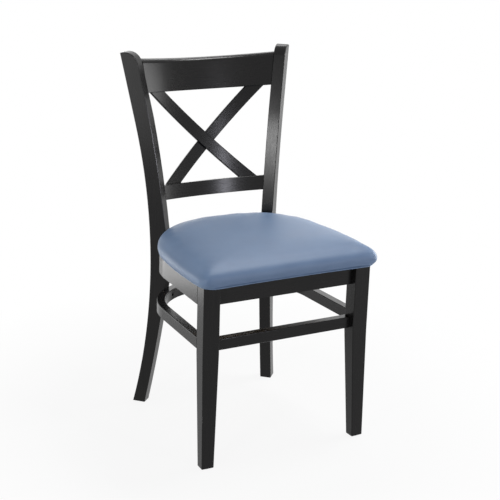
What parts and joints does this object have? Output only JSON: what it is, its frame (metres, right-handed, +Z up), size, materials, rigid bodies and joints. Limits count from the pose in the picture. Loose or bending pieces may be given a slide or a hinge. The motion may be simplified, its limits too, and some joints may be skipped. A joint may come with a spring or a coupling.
{
  "type": "dining chair",
  "caption": "Black bentwood dining chair with a crossed-slat back, curved rear legs, hooped seat frame and stretcher, and a padded blue vinyl seat.",
  "frame": {"origin": "on the floor, at the centre of the bounding box", "axes": "+Z up, -Y the way a sitter faces, +X to the right as seen from the front"},
  "size_m": [0.4598, 0.5057, 0.8823],
  "materials": {
    "black_lacquer": "satin black lacquer over fine-grained beech",
    "raw_beech": "unfinished planed beech",
    "plywood": "unfinished plywood",
    "blue_vinyl": "grey-blue upholstery vinyl with a fine embossed grain",
    "foam": "cut upholstery foam",
    "screw_steel": "zinc-plated steel",
    "glide_plastic": "moulded black glide"
  },
  "bodies": {
    "root": {"front_leg_left": "black_lacquer", "front_leg_right": "black_lacquer", "rear_leg_left": "black_lacquer", "rear_leg_right": "black_lacquer", "seat_hoop": "black_lacquer", "front_apron": "black_lacquer", "stretcher_hoop": "black_lacquer", "front_stretcher": "black_lacquer", "crest_rail": "black_lacquer", "lower_back_rail": "black_lacquer", "cross_slat_front": "black_lacquer", "cross_slat_rear": "black_lacquer", "corner_block_left": "raw_beech", "corner_block_right": "raw_beech", "rear_seat_block": "raw_beech", "apron_dowels": "raw_beech", "seat_hoop_dowels": "raw_beech", "stretcher_dowels": "raw_beech", "hoop_stretcher_dowels": "raw_beech", "crest_dowels": "raw_beech", "lower_rail_dowels": "raw_beech", "seat_hoop_screws": "screw_steel", "stretcher_screws": "screw_steel", "block_screws": "screw_steel", "seat_screws": "screw_steel", "seat_cover": "blue_vinyl", "seat_board": "plywood", "seat_foam": "foam", "glides": "glide_plastic"}
  },
  "joints": []
}
